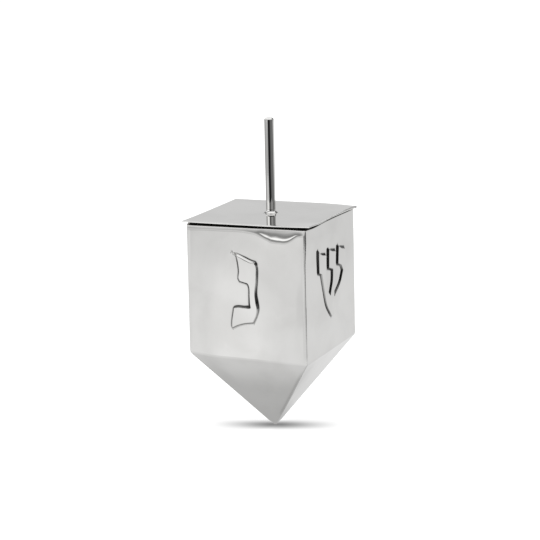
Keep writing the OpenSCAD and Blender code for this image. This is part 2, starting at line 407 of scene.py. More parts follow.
def meridian(m):
    m = np.asarray(m, float)
    w, z, nw, nz = (np.zeros_like(m) for _ in range(4))
    k = m < M0
    w[k], z[k], nz[k] = HALF - RIM_R - (M0 - m[k]), RIM_Z, 1
    k = (m >= M0) & (m < M1)
    a = (m[k] - M0) / RIM_R
    w[k], z[k] = HALF - RIM_R + RIM_R * np.sin(a), RIM_Z - RIM_R + RIM_R * np.cos(a)
    nw[k], nz[k] = np.sin(a), np.cos(a)
    k = (m >= M1) & (m < M2)
    w[k], z[k], nw[k] = HALF, RIM_Z - RIM_R - (m[k] - M1), 1
    k = (m >= M2) & (m < M3)
    a = (m[k] - M2) / FOLD_R
    w[k], z[k] = HALF - FOLD_R + FOLD_R * np.cos(a), FOLD_Z + FOLD_T - FOLD_R * np.sin(a)
    nw[k], nz[k] = np.cos(a), -np.sin(a)
    k = m >= M3
    q = m[k] - M3
    w[k], z[k] = W3 - q * math.sin(SLOPE), Z3 - q * math.cos(SLOPE)
    nw[k], nz[k] = math.cos(SLOPE), -math.sin(SLOPE)
    return w, z, nw, nz


# Radius of the upright edges: soft under the rim, crisp further down, fuller at the fold
EDGE = np.array([(M0, .27), (M1 + 2, .27), (M1 + 5, .20), (M1 + 10, .14), (M1 + 19, .13), (M2 - 4, .10),
                 (M2 - 1.2, .12), ((M2 + M3) / 2, .30), (M3 + 1.3, .18), (M4, .16)])


def corner(m, w):
    r = np.interp(m, EDGE[:, 0], EDGE[:, 1])
    return np.where(m < M1, np.maximum(r - (HALF - w), 0.06), r)


def reach(m):
    """Half the width of a sheet along its skin, out to the mitre."""
    w = meridian(m)[0]
    r = corner(m, w)
    return w - r + r * PI / 4


def fold_shift(t, m, ends):
    """How far the sheet sits above its plan near the fold, whose two corners are off by ends.

    A third figure lifts the left corner alone.
    """
    z = meridian(m)[1]
    s = t / reach(m)
    near = np.where(z > FOLD_Z, 1 - ss(0, 7, z - FOLD_Z), np.clip((z - TIP_CUT) / (FOLD_Z - TIP_CUT), 0, 1))
    bow = ends[2] * (1 - ss(-1.06, -0.52, s)) / 0.965 if len(ends) > 2 else 0.0
    return ((ends[0] * (1 - s) + ends[1] * (1 + s)) / 2 + bow) * near


def lean_shift(t, m, lean):
    """Shifts along and into the wall, below the top part, that move one upright edge a little."""
    z = meridian(m)[1]
    s = t / reach(m)
    near = (1 - ss(45, 51, z)) * ss(FOLD_Z - 14, FOLD_Z, z) / 2
    return lean[0] * (1 + s) * near, lean[1] * (1 - s) * near


def skin(t, m, h, drop, push=0.0, ends=(0.0, 0.0), lean=(0.0, 0.0)):
    w, z, nw, nz = meridian(m)
    r = corner(m, w)
    flat = w - r
    s, at = np.sign(t), np.abs(t)
    a = np.clip((at - flat) / r, 0, None)
    x = s * (np.minimum(at, flat) + r * np.sin(a))
    y = -(flat + r * np.cos(a))
    along, inward = lean_shift(t, m, lean)
    x = x + s * np.sin(a) * nw * h + along
    y = y - np.cos(a) * nw * h + push + inward
    z = z + nz * h
    z = z - drop * ss(RIM_Z - 3.5, RIM_Z - 0.05, z) + fold_shift(t, m, ends)
    return np.stack([x, y, z], -1)


def lining(t, m, h, drop, ends=(0.0, 0.0), lean=(0.0, 0.0)):
    w, z, nw, nz = meridian(m)
    r = corner(m, w)
    flat = w - r
    top = m < M1
    wi = np.where(top, HALF - SHEET, w - SHEET * nw)
    zi = np.where(top, RIM_Z - 0.02 - (RIM_R - 0.02) * m / M1, z - SHEET * nz)
    ri = 0.1
    fi = wi - ri
    s, at = np.sign(t), np.abs(t)
    a = np.clip((at - flat) / r, 0, PI / 4)
    along, inward = lean_shift(t, m, lean)
    x = s * (np.minimum(at, flat) / flat * fi + ri * np.sin(a)) + along
    y = -(fi + ri * np.cos(a)) - h + inward
    zi = zi - drop * ss(RIM_Z - 3.5, RIM_Z - 0.05, zi) + fold_shift(t, m, ends)
    return np.stack([x, y, zi], -1)


# The dent that runs under the front rim, across the wall: how far its steepest line is below the
# rim, how steep it is there in degrees, and how far it reaches below that line
DENT = np.array([
    (-16, .70, 3.4, .55), (-8, .70, 3.4, .55), (0, .70, 3.4, .55), (1.3, .80, 3.7, .60), (2.66, 1.00, 4.3, .60),
    (3.46, 1.05, 5.3, .90), (4.26, 1.30, 6.4, 1.0), (5.06, 1.68, 7.0, 1.0), (5.86, 1.98, 7.0, 1.05),
    (6.66, 2.27, 7.1, 1.2), (7.45, 2.35, 7.6, 1.2), (8.25, 2.45, 8.0, 1.15), (9.04, 2.50, 7.8, 1.1),
    (9.84, 2.58, 7.8, 1.05), (10.63, 2.50, 7.8, 1.05), (11.42, 2.28, 7.9, .95), (12.21, 1.87, 7.6, .95),
    (13.0, 1.42, 7.4, .85), (13.79, 1.13, 6.3, .70), (14.58, 1.08, 5.0, .65), (15.2, 1.05, 3.0, .60),
    (16, 1.0, 0.0, .60)])


def slopes(points, end):
    """Table of what is left of the area under a curve through the points, from x to its end."""
    x = np.linspace(0, end, 4000)
    y = np.interp(x, *zip(*points))
    k = np.exp(-np.linspace(-2, 2, 161) ** 2)
    y = np.convolve(np.pad(y, 80, mode="edge"), k / k.sum(), "valid")
    left = np.concatenate([np.cumsum(((y[1:] + y[:-1]) / 2 * np.diff(x))[::-1])[::-1], [0]])
    return x, left


# how the dent's steepness grows from the rim down to its steepest line, and fades below it
ABOVE = slopes([(0, 0), (.13, .11), (.32, .14), (.50, .33), (.62, .37), (.70, .57), (.80, .62), (.90, .72), (1, 1)], 1)
BELOW = slopes([(0, 1), (.15, .87), (.25, .74), (.5, .55), (.75, .37), (1.0, .16), (1.25, 0), (1.4, 0)], 1.4)


def smooth_interp(x, table):
    """Cubic through the table's points without overshoot at the ends."""
    xs, ys = table[:, 0], table[:, 1]
    g = np.gradient(ys, xs)
    i = np.clip(np.searchsorted(xs, x) - 1, 0, len(xs) - 2)
    L = xs[i + 1] - xs[i]
    q = np.clip((x - xs[i]) / L, 0, 1)
    return ((2 * q**3 - 3 * q**2 + 1) * ys[i] + (q**3 - 2 * q**2 + q) * L * g[i]
            + (-2 * q**3 + 3 * q**2) * ys[i + 1] + (q**3 - q**2) * L * g[i + 1])


class Wall:
    def __init__(self, shapes, drop, ends, dent, phase, tall=1.0, lean=(0.0, 0.0)):
        self.mark = Mark(shapes)
        self.drop_at = lambda t: np.interp(t, *zip(*drop))
        self.ends = ends
        self.lean = lean
        self.dent = dent
        self.ph = phase
        self.tall = tall

    def height(self, t, m):
        """How far the skin stands out, its dark parts (patina and painted shade) and its worn edges."""
        w, z, _, _ = meridian(m)
        v = z - MARK_Z
        on = (m > M1) & (m < M2)
        vv = np.where(on, v, 50.0)
        d, f = self.mark.near(t, vv)
        wd, foot, face = f[:, 0], f[:, 1], f[:, 2]
        top = self.tall * (0.36 + 0.17 * np.clip((v + 9.5) / 19.3, 0, 1))
        s = ss(0, 1, (wd / 2 - d) / wd)
        raised = top * s
        h = raised - 0.05 * (0.5 + 0.5 * foot) * np.exp(-(((d - wd / 2 - 0.06) / 0.12) ** 2))
        h = h + 0.02 * np.exp(-np.maximum(d, 0) / 1.6) * (d < 8)
        # dark foot of each mark: patina in the crease, deepened as painted shade; the bevel's own darkness is painted
        # shade
        oxide_and_shade = 1.1 * foot * np.exp(-(((d - wd / 2 + 0.02) / (0.11 + 0.10 * foot)) ** 2))
        oxide_and_shade = np.maximum(oxide_and_shade, face * np.clip(6.0 * s * (1 - s), 0, 1))
        # gentle waves that die out towards the edges
        far = ss(0, 3.0, reach(m) - np.abs(t))
        a, b, c = self.ph
        wave = (np.sin(2 * PI * (t * 0.043 + m * 0.031) + a)
                + 0.6 * np.sin(2 * PI * (-t * 0.028 + m * 0.067) + b)
                + 0.4 * np.sin(2 * PI * (t * 0.09 + m * 0.02) + c))
        area = ss(M1, M1 + 4, m) * (1 - ss(M2 - 3, M2, m)) + ss(M3, M3 + 4, m) * (1 - ss(M4 - 6, M4 - 1, m))
        h = h + 0.012 * wave * far * area
        # the sheet turns gently before it reaches the upright edges, most of all near the rim
        drop = self.drop_at(t)
        below = RIM_Z - drop - (z - drop * ss(RIM_Z - 3.5, RIM_Z - 0.05, z))
        soft = np.clip(np.abs(t) - (w - corner(m, w) - 0.9), 0, None)
        full = ss(M0, M1 + 0.2, m) * (1 - ss(M2 - 2.5, M2 - 0.5, m))
        h = h - 0.5 * 0.13 * soft ** 2 * full
        # dull line along each edge of the point, where the sheets were soldered and filed
        line = np.exp(-(((reach(m) - t - 0.35) / 0.32) ** 2)) * ss(M3 + 1, M3 + 6, m) * (1 - ss(M4 - 5, M4, m))
        oxide_and_shade = np.maximum(oxide_and_shade, 0.26 * line)
        # roll or dent under the rim
        inwards = ss(0.0, M0, m) * ss(0.0, 0.5, reach(m) - np.abs(t))
        if self.dent:
            c, steep, down = (smooth_interp(t, DENT[:, [0, i]]) for i in (1, 2, 3))
        else:
            c, steep, down = np.full_like(t, 0.6), np.full_like(t, 2.6), np.full_like(t, 0.4)
        steep = np.radians(np.clip(steep, 0, 12))
        flat = np.minimum(0.035, 0.6 * steep)
        q = below / c
        push = np.where(q < 1, c * (flat * (1 - q) + (steep - flat) * np.interp(q, *ABOVE)) + steep * down * BELOW[1][0],
                        steep * down * np.interp((below - c) / down, *BELOW)) * inwards
        edge = np.exp(-(((reach(m) - np.abs(t)) / 0.45) ** 2)) * ss(M0, M1 + 0.5, m)
        return h, np.clip(oxide_and_shade, 0, 1), edge, raised, push

    def at(self, t, m):
        h, oxide_and_shade, edge, raised, push = self.height(t, m)
        return skin(t, m, h, self.drop_at(t), push, self.ends, self.lean), oxide_and_shade, edge, raised


def rows_of(wall):
    ms = [0.0, M0]
    ms += list(M0 + (M1 - M0) * np.array([.25, .5, .75, 1]))
    ms += list(np.arange(M1 + 0.12, M1 + 4.3, 0.15 if wall.dent else 0.3))
    ms += list(np.linspace(M1 + 4.6, M2, 38))
    ms += list(M2 + (M3 - M2) * np.linspace(0, 1, 8)[1:])
    ms += list(np.linspace(M3, M4, 34)[1:])
    return np.array(ms)


def build_panel(name, wall, turn):
    ms = rows_of(wall)
    T = reach(ms)
    W = meridian(ms)[0]
    R = corner(ms, W)
    loop, inner = [], []
    arcs = np.array([0.2, 0.4, 0.6, 0.8])
    for i, m in enumerate(ms):
        flat = W[i] - R[i]
        fine = wall.dent and M0 - 0.01 <= m <= M1 + 4.2
        gap = 0.3 if fine else 0.78
        n = max(4, int(round(2 * flat / gap)))
        ts = np.linspace(-flat, flat, n + 1)
        side = flat + R[i] * PI / 4 * arcs
        if flat > 3:
            side = np.concatenate([flat - np.array([0.95, 0.7, 0.45, 0.22]), side])
            ts = ts[np.abs(ts) < flat - 1.05]
            side = np.insert(side, 4, flat)
        ts = np.concatenate([-side[::-1], ts, side])
        for t in ts:
            inner.append((t, m))
    top = [p for p in inner if p[1] == ms[0]]
    bottom = [p for p in inner if p[1] == ms[-1]]
    inner = np.array([p for p in inner if ms[0] < p[1] < ms[-1]])
    loop += [(-T[0], ms[0])] + top + [(T[i], ms[i]) for i in range(len(ms))]
    loop += bottom[::-1] + [(-T[i], ms[i]) for i in range(len(ms) - 1, 0, -1)]
    loop = np.array(loop)
    z = meridian(inner[:, 1])[1]
    d, f = wall.mark.near(inner[:, 0], np.where(inner[:, 1] < M2, z - MARK_Z, 50))
    inner = inner[np.abs(d) > 0.62 * f[:, 0] + 0.42]
    iso = wall.mark.isolines()
    iso = np.column_stack([iso[:, 0], M1 + (RIM_Z - RIM_R - (iso[:, 1] + MARK_Z))])
    pts = np.concatenate([inner, iso])
    _, keep = np.unique(np.round(pts / 0.06), axis=0, return_index=True)
    pts = pts[np.sort(keep)]
    n = len(loop)
    allp = [Vector(p) for p in loop] + [Vector(p) for p in pts]
    edges = [(i, (i + 1) % n) for i in range(n)]
    vs, _, faces, *_ = delaunay_2d_cdt(allp, edges, [], 1, 1e-5)
    tm = np.array([(v.x, v.y) for v in vs])
    tri = np.array([f for f in faces if len(f) == 3])
    q = tm[tri]
    area = ((q[:, 1, 0] - q[:, 0, 0]) * (q[:, 2, 1] - q[:, 0, 1])
            - (q[:, 2, 0] - q[:, 0, 0]) * (q[:, 1, 1] - q[:, 0, 1]))
    tri = tri[np.abs(area) > 1e-7]
    area = area[np.abs(area) > 1e-7]
    tri[area > 0] = tri[area > 0][:, ::-1]       # so that faces look outwards
    used = np.unique(tri)
    remap = -np.ones(len(tm), int)
    remap[used] = np.arange(len(used))
    tm, tri = tm[used], remap[tri]
    t, m = tm[:, 0], tm[:, 1]
    P, oxide_and_shade, edge, raised = wall.at(t, m)
    e = 0.012
    du = wall.at(t + e, m)[0] - wall.at(t - e, m)[0]
    dv = wall.at(t, m + e)[0] - wall.at(t, m - e)[0]
    N = -np.cross(du, dv)
    N /= np.linalg.norm(N, axis=1)[:, None]
    Q = lining(t, m, 0.85 * raised, wall.drop_at(t), wall.ends, wall.lean)
    back = tri[:, ::-1]
    fn = np.cross(Q[back[:, 1]] - Q[back[:, 0]], Q[back[:, 2]] - Q[back[:, 0]])
    NQ = np.zeros_like(Q)
    for j in range(3):
        np.add.at(NQ, back[:, j], fn)
    NQ /= np.maximum(np.linalg.norm(NQ, axis=1), 1e-12)[:, None]
    # strips round the border join the skin to the lining
    half = {}
    for f in tri:
        for a, b in ((f[0], f[1]), (f[1], f[2]), (f[2], f[0])):
            half[(a, b)] = True
    rim = [(a, b) for a, b in half if (b, a) not in half]
    k = len(P)
    strips = []
    for a, b in rim:
        strips.append((b, a, a + k))
        strips.append((b, a + k, b + k))
    verts = np.concatenate([P, Q])
    strips = np.array(strips)
    sn = np.cross(verts[strips[:, 1]] - verts[strips[:, 0]], verts[strips[:, 2]] - verts[strips[:, 0]])
    sn /= np.maximum(np.linalg.norm(sn, axis=1), 1e-12)[:, None]
    loops = np.concatenate([N[tri].reshape(-1, 3), NQ[back].reshape(-1, 3), np.repeat(sn, 3, 0)])
    faces = np.concatenate([tri, back + k, strips])
    kinds = np.concatenate([np.zeros(len(tri), int), np.ones(len(back), int), np.ones(len(strips), int)])
    data = {"oxide_and_painted_shade": np.concatenate([oxide_and_shade, np.zeros(k)]), "edge": np.concatenate([edge, np.zeros(k)])}
    c, s = math.cos(math.radians(turn)), math.sin(math.radians(turn))
    rot = np.array([[c, -s, 0], [s, c, 0], [0, 0, 1]])
    return make(name, verts @ rot.T, faces, loops @ rot.T, [SILVER, INSIDE], kinds, data)


def make(name, verts, faces, normals=None, mats=(), kinds=None, data=None):
    me = bpy.data.meshes.new(name)
    me.from_pydata([tuple(v) for v in np.asarray(verts) * MM], [], [tuple(int(i) for i in f) for f in faces])
    for mt in mats:
        me.materials.append(mt)
    if kinds is not None:
        me.polygons.foreach_set("material_index", np.asarray(kinds, np.int32))
    for key in ("oxide_and_painted_shade", "edge"):
        a = me.attributes.new(key, "FLOAT", "POINT")
        vals = (data or {}).get(key)
        a.data.foreach_set("value", np.zeros(len(verts), np.float32) if vals is None else vals.astype(np.float32))
    me.polygons.foreach_set("use_smooth", np.ones(len(me.polygons), bool))
    me.update()
    if normals is not None:
        me.normals_split_custom_set([tuple(v) for v in normals])
    me.validate()
    o = bpy.data.objects.new(name, me)
    bpy.context.scene.collection.objects.link(o)
    return o


def ring_mesh(rings, close_start=None, close_end=None):
    """Joins rings of equal length into a closed skin; ends close on a pole or a fan."""
    n = len(rings[0])
    verts = [p for r in rings for p in r]
    faces = []
    for i in range(len(rings) - 1):
        a, b = i * n, (i + 1) * n
        for j in range(n):
            k = (j + 1) % n
            faces.append((a + j, a + k, b + k, b + j))
    if close_start is not None:
        verts.append(close_start)
        c = len(verts) - 1
        faces += [(c, (j + 1) % n, j) for j in range(n)]
    if close_end is not None:
        verts.append(close_end)
        c = len(verts) - 1
        a = (len(rings) - 1) * n
        faces += [(a + j, a + (j + 1) % n, c) for j in range(n)]
    return np.array(verts, float), faces


def corner_normals(verts, faces, sharp=40.0):
    """Loop normals: averaged over the neighbouring faces that turn by less than sharp."""
    fn, fa = [], []
    for f in faces:
        p = verts[list(f)]
        c = np.zeros(3)
        for i in range(1, len(f) - 1):
            c += np.cross(p[i] - p[0], p[i + 1] - p[0])
        L = np.linalg.norm(c)
        fn.append(c / max(L, 1e-12))
        fa.append(L)
    fn = np.array(fn)
    at = [[] for _ in verts]
    for i, f in enumerate(faces):
        for v in f:
            at[v].append(i)
    lim = math.cos(math.radians(sharp))
    out = []
    for i, f in enumerate(faces):
        for v in f:
            near = [j for j in at[v] if fn[j] @ fn[i] > lim]
            s = sum(fn[j] * fa[j] for j in near)
            out.append(s / max(np.linalg.norm(s), 1e-12))
    return np.array(out)


# --------------------------------------------------------------------------
# The case
# The rim sits a little below the plate, most of all at the front and right, so a dark gap shows
walls = {
    "nun": Wall([NUN], [(-15.8, .64), (-12, .62), (-1, .55), (9, .49), (13, .45), (15.8, .45)], (-0.44, -1.0, 0.5),
                True, (0.3, 1.9, 4.0), 1.0, (-0.28, 0.0)),
    "shin": Wall([SHIN], [(-15.8, .45), (-14, .52), (-12, .63), (-10, .66), (-8, .60), (-6, .50), (-3, .42), (4, .40),
                          (14, .50), (15.2, .44), (15.8, .36)], (-1.0, 0.1), False, (2.2, 0.4, 1.1), 0.8,
                 (0.0, 0.28)),
    "hei": Wall([dressed(HEI_ROOF), dressed(HEI_LEG)], [(-15.8, .36), (-14.5, .16), (-12, 0), (15.8, 0)], (0.1, 0.1), False,
                (4.1, 2.8, 0.2)),
    "gimel": Wall([dressed(GIMEL)], [(-15.8, 0), (12, .02), (14.6, .06), (15.3, .32), (15.8, .64)], (0.1, 0.06),
                  False, (5.2, 3.7, 2.5)),
}
for key, turn in (("nun", 0), ("shin", 90), ("hei", 180), ("gimel", 270)):
    o = build_panel("sheet_" + key, walls[key], turn)
    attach(o, "case")
    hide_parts("panel_" + key)


def square_ring(m, fn, lift=0.0):
    """One ring right round the case at section position m, by the four sheets in turn."""
    w = float(meridian(np.array([m]))[0][0])
    r = float(corner(np.array([m]), np.array([w]))[0])
    flat = w - r
    n = max(4, int(round(2 * (W_END - R_END) / 0.3)))
    ts = np.concatenate([np.linspace(-flat, flat, n + 1), flat + r * PI / 4 * np.array([.25, .5, .75, 1])])
    ts = np.concatenate([-(flat + r * PI / 4 * np.array([.75, .5, .25])), ts])
    p = fn(ts, np.full_like(ts, m), np.zeros_like(ts), np.zeros_like(ts))
    out = []
    for turn in (0, 90, 180, 270):
        c, s = math.cos(math.radians(turn)), math.sin(math.radians(turn))
        out.append(p @ np.array([[c, -s, 0], [s, c, 0], [0, 0, 1]]).T)
    return np.concatenate(out)


W_END = float(meridian(np.array([M4]))[0][0])
R_END = float(corner(np.array([M4]), np.array([W_END]))[0])

# Tip: rounded nose below the sheets, and the solder that fills the point inside
seam = square_ring(M4, skin)
angle = np.arctan2(seam[:, 1], seam[:, 0])
nose = []
for z in (0.012, 0.045, 0.10, 0.17, 0.25, 0.34, 0.44, 0.56, 0.70, 0.86, 1.04, 1.24, 1.46, 1.64):
    w = (z + NOSE) * HALF / POINT
    ball = math.sqrt(max(0.49 - (0.7 - z) ** 2, 0)) if z < 0.7 else 9.0
    r = -0.05 * math.log(math.exp(-min(w, 4) / 0.05) + math.exp(-min(ball, 4) / 0.05))
    k = float(ss(0.30, 1.45, z))
    sq = seam[:, :2] / W_END * w
    ci = np.stack([np.cos(angle), np.sin(angle)], 1) * r
    xy = sq * k + ci * (1 - k)
    nose.append(np.column_stack([xy, np.full(len(xy), z)]))
nose.append(seam)
inside = [square_ring(m, lining) for m in np.linspace(M4, M4 - (TIP_FILL - 2.15) / math.cos(SLOPE), 7)]
inside = [np.column_stack([p[:, :2] * 0.995, p[:, 2]]) for p in inside]
cup = []
last = inside[-1]
for q, dz in ((0.9, -0.28), (0.72, -0.46), (0.5, -0.56), (0.25, -0.6)):
    bumpy = 0.03 * np.sin(np.arange(len(last)) * 0.4 + q * 9)
    cup.append(np.column_stack([last[:, :2] * q, last[:, 2] + dz + bumpy]))
verts, faces = ring_mesh(nose + inside + cup, (0, 0, 0.0), (0, 0, float(last[0, 2]) - 0.61))
k = len(seam)
kinds = [0 if max(f) < len(nose) * k or min(f) >= len(verts) - 2 and max(f) == len(verts) - 2 else 1 for f in faces]
kinds = [0 if all(verts[v][2] <= TIP_CUT + 1e-6 for v in f) else 1 for f in faces]
o = make("tip", verts, faces, corner_normals(verts, faces), [SILVER, SOLDER], kinds)
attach(o, "case")
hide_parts("tip_plug")

# --------------------------------------------------------------------------
# The lid plate: thin sheet with softened edges, sharp corners and a hole for the tenon
side = 44
q = np.linspace(-1, 1, side + 1)[:-1]
q = np.sign(q) * np.abs(q) ** 0.9
border = np.concatenate([
    np.column_stack([q, -np.ones(side)]), np.column_stack([np.ones(side), q]),
    np.column_stack([-q, np.ones(side)]), np.column_stack([-np.ones(side), -q])])
theta = np.arctan2(border[:, 1], border[:, 0])
round_ = np.stack([np.cos(theta), np.sin(theta)], 1)
PW = PLATE_W / 2
HOLE = 0.78


def plate_wave(x, y):
    wave = 0.010 * np.sin(x * 0.31 + 0.4) * np.cos(y * 0.23 + 1.2) + 0.006 * np.sin(x * 0.12 - y * 0.43)
    # two corners bent up and a shallow sag near the front of the right edge
    far = np.clip((np.abs(x) + np.abs(y) - 22) / 11, 0, 1) ** 2 * (y < 0)
    lift = far * np.where(x > 0, 0.20, 0.09)
    sag = 0.15 * np.exp(-((y + 9.5) / 3.6) ** 2) * ss(9, 16.5, x)
    return wave + lift - sag - 0.36 * np.clip((x + y - 22) / 11, 0, 1) ** 2


def plate_ring(inset, down):
    xy = border * (PW - inset)
    thick = 1 + 0.55 * ss(-2, 8, xy[:, 1]) * ss(15.2, 16, xy[:, 0])
    return np.column_stack([xy, PLATE_Z - down * thick + plate_wave(xy[:, 0], xy[:, 1])])


def blend_ring(f, z):
    """Between the hole's circle (f = 0) and the square near the edge (f = 1)."""
    sq = border * (PW - 0.42)
    ci = round_ * HOLE
    g = f ** 1.0
    xy = ci * (1 - g) + sq * g
    return np.column_stack([xy, z + plate_wave(xy[:, 0], xy[:, 1]) * ss(0, 0.25, f)])


rings = []
fs = np.concatenate([np.linspace(0, 0.12, 4), np.linspace(0.16, 1, 22)])
for f in fs:
    rings.append(blend_ring(f, PLATE_Z))
# the edge is slightly convex, with its two rims barely broken
for inset, down in ((0.30, 0.0), (0.20, 0.006), (0.12, 0.018), (0.072, 0.036), (0.052, 0.060), (0.037, 0.10),
                    (0.022, 0.15), (0.010, 0.20), (0.002, 0.24), (0.0, 0.265), (0.010, 0.285), (0.05, 0.298),
                    (0.2, 0.30)):
    rings.append(plate_ring(inset, down))
for f in fs[::-1]:
    rings.append(blend_ring(f, PLATE_Z - 0.30 if f > 0.93 else RIM_Z + 0.012))
# outwards first, so the order is turned to face outwards
n = len(border)
verts = np.concatenate(rings)
faces = []
for i in range(len(rings)):
    a, b = i * n, ((i + 1) % len(rings)) * n
    for j in range(n):
        kk = (j + 1) % n
        faces.append((a + j, b + j, b + kk, a + kk))
edge = np.concatenate([np.full(n, v) for v in [0.0] * len(fs) + [.1, .2, .5, .5, .3, .2, .1, .1, .1, .3, .6, .6, .3]
                       + [0.0] * len(fs)])
# painted shade: a dark line along the right edge near its far corner, and the far corner darkened
tarnish_and_painted_shade = np.clip(1 - np.abs(PW - 0.20 - verts[:, 0]) / 0.20, 0, 1) * ss(6, 10, verts[:, 1]) * (verts[:, 2] > PLATE_Z - 0.45)
tarnish_and_painted_shade = np.maximum(tarnish_and_painted_shade, ss(32.3, 33.2, verts[:, 0] + verts[:, 1]))
c, s =math.cos(math.radians(PLATE_TURN)), math.sin(math.radians(PLATE_TURN))
verts = verts @ np.array([[c, -s, 0], [s, c, 0], [0, 0, 1]]).T
# the sheet was cut slightly out of square, long at its front left corner
verts[:, 0] -= 0.30 * np.clip((-verts[:, 0] - verts[:, 1] - 20) / 13, 0, 1) ** 2
o = make("top_plate", verts, faces, corner_normals(verts, faces, 50), [SILVER, INSIDE],
         [1 if all(v // n >= len(fs) + 11 for v in f) else 0 for f in faces],
         {"edge": edge * 0.5, "oxide_and_painted_shade": 0.75 * tarnish_and_painted_shade})
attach(o, "lid")
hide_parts("lid_plate")


def lathe(profile, seg=72, wobble=None):
    rings = []
    for i, (r, z) in enumerate(profile):
        a = np.arange(seg) / seg * 2 * PI
        rr = np.full(seg, r) if wobble is None else r + wobble(a, z, r)
        rings.append(np.column_stack([rr * np.cos(a), rr * np.sin(a), np.full(seg, z)]))
    return rings


# The stem: rivet head, tenon, long rod, softly rounded end
low = RIM_Z - 0.5
prof = [(0.55, low - 0.60), (0.95, low - 0.585), (1.25, low - 0.50), (1.45, low - 0.36), (1.54, low - 0.2),
        (1.55, low - 0.04), (1.50, low), (0.75, low), (0.75, PLATE_Z + 0.01), (1.20, PLATE_Z + 0.01)]
prof += [(1.2, z) for z in np.linspace(PLATE_Z + 0.6, STEM_TOP - 0.54, 36)]
prof += [(r, STEM_TOP - d) for r, d in ((1.192, .505), (1.165, .455), (1.12, .40), (1.06, .335), (.99, .262),
                                       (.92, .190), (.85, .132), (.76, .088), (.64, .052), (.48, .026), (.30, .010),
                                       (.12, .002))]


def stem_wave(a, z, r):
    if z < PLATE_Z + 1 or z > STEM_TOP - 0.7:
        return np.zeros_like(a)
    fade = float(ss(PLATE_Z + 1, PLATE_Z + 4, z) * (1 - ss(STEM_TOP - 3, STEM_TOP - 0.7, z)))
    return fade * (0.004 * np.cos(2 * a + z * 0.35) + 0.003 * np.cos(3 * a - z * 0.62 + 1))


rings = lathe(prof, 72, stem_wave)
verts, faces = ring_mesh(rings, (0, 0, low - 0.60), (0, 0, STEM_TOP))
# painted shade: a dark ring where the rod turns into its rounded end
painted_dark_ring = np.exp(-(((verts[:, 2] - STEM_TOP + 0.47) / 0.06) ** 2)) * 0.5
o = make("stem_rod", verts, faces, corner_normals(verts, faces, 48), [SILVER_TURNED], None, {"oxide_and_painted_shade": painted_dark_ring})
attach(o, "lid")
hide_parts("stem")

# Solder ring at the stem's foot: a flared cone with slightly uneven edges
prof = [(r, PLATE_Z + z) for r, z in (
    (1.16, .012), (1.84, .012), (1.90, .022), (1.86, .036), (1.78, .046), (1.71, .06), (1.66, .09), (1.55, .20),
    (1.43, .34), (1.31, .48), (1.265, .58), (1.24, .68), (1.222, .80), (1.21, .92), (1.205, 1.0), (1.16, 1.0))]


def foot_wave(a, z, r):
    g = float(ss(1.25, 1.9, r))
    return g * (0.04 * np.cos(2 * a + 0.5) + 0.03 * np.cos(3 * a + 2.1) + 0.02 * np.cos(5 * a + 0.9))


rings = lathe(prof, 72, foot_wave)
verts = np.concatenate(rings)
faces = []
for i in range(len(rings)):
    a, b = i * 72, ((i + 1) % len(rings)) * 72
    for j in range(72):
        kk = (j + 1) % 72
        faces.append((a + j, a + kk, b + kk, b + j))
# painted shade: the thin skirt is darker at its left and right sides as the camera sees them
spread = np.hypot(verts[:, 0], verts[:, 1])
across = np.abs(verts[:, 0] * math.cos(AZ) + verts[:, 1] * math.sin(AZ)) / spread
tarnish_and_painted_shade = ss(1.38, 1.50, spread) * (1 - ss(1.70, 1.80, spread)) * ss(0.55, 0.80, across) * 0.9
o = make("foot_solder", verts, faces, corner_normals(verts, faces, 60), [SILVER], None, {"oxide_and_painted_shade": tarnish_and_painted_shade})
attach(o, "lid")
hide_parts("stem_fillet")


# CAD pieces that stay take their finishes here
def dress(node, mat):
    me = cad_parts[node].data
    me.materials.clear()
    me.materials.append(mat)
    for p in me.polygons:
        p.material_index = 0


dress("lid_collar", BRUSHED)
dress("stem_washer", WASHER)
dress("corner_solder", SOLDER)

# --------------------------------------------------------------------------
# Floor: plain and pale, with a painted contact shadow under the tip
fm, t, b = material("floor_pale")
pos = t.node("ShaderNodeNewGeometry").outputs["Position"]
spun = t.mapped(pos, (1000, 1000, 1000), (0, 0, -AZ))
xyz = t.node("ShaderNodeSeparateXYZ")
t.put(xyz.inputs[0], spun)
X, Y = xyz.outputs[0], xyz.outputs[1]
rho = t.math("SQRT", t.math("ADD", t.math("MULTIPLY", X, X), t.math("MULTIPLY", Y, Y)))
grain = t.noise(pos, 900.0, 4.0)
across = t.math("ABSOLUTE", t.math("SUBTRACT", X, 0.1))
wide = t.ramp(across, [(0, .775), (1.5, .765), (2.6, .725), (4, .665), (5.2, .61), (7.1, .50), (9, .39), (11, .285),
                       (13.5, .155), (16, .05), (18.5, 0)], 0, 18.5)
# the painted shadow gets a little narrower towards its two ends, and lies slightly askew
along = t.math("MULTIPLY_ADD", X, 0.11, t.math("SUBTRACT", Y, 0.1))
along = t.math("MULTIPLY", along, t.math("MULTIPLY_ADD", across, 0.016, 1.12))
deep = t.ramp(along, [(-8.6, 0), (-7.5, .02), (-6.3, .12), (-5, .34), (-3.8, .59), (-2.5, .82), (-1.3, .95), (0, 1),
                      (1.3, .87), (2.5, .66), (3.8, .40), (5, .19), (6.3, .07), (7.6, .02), (8.6, 0)], -8.6, 8.6)
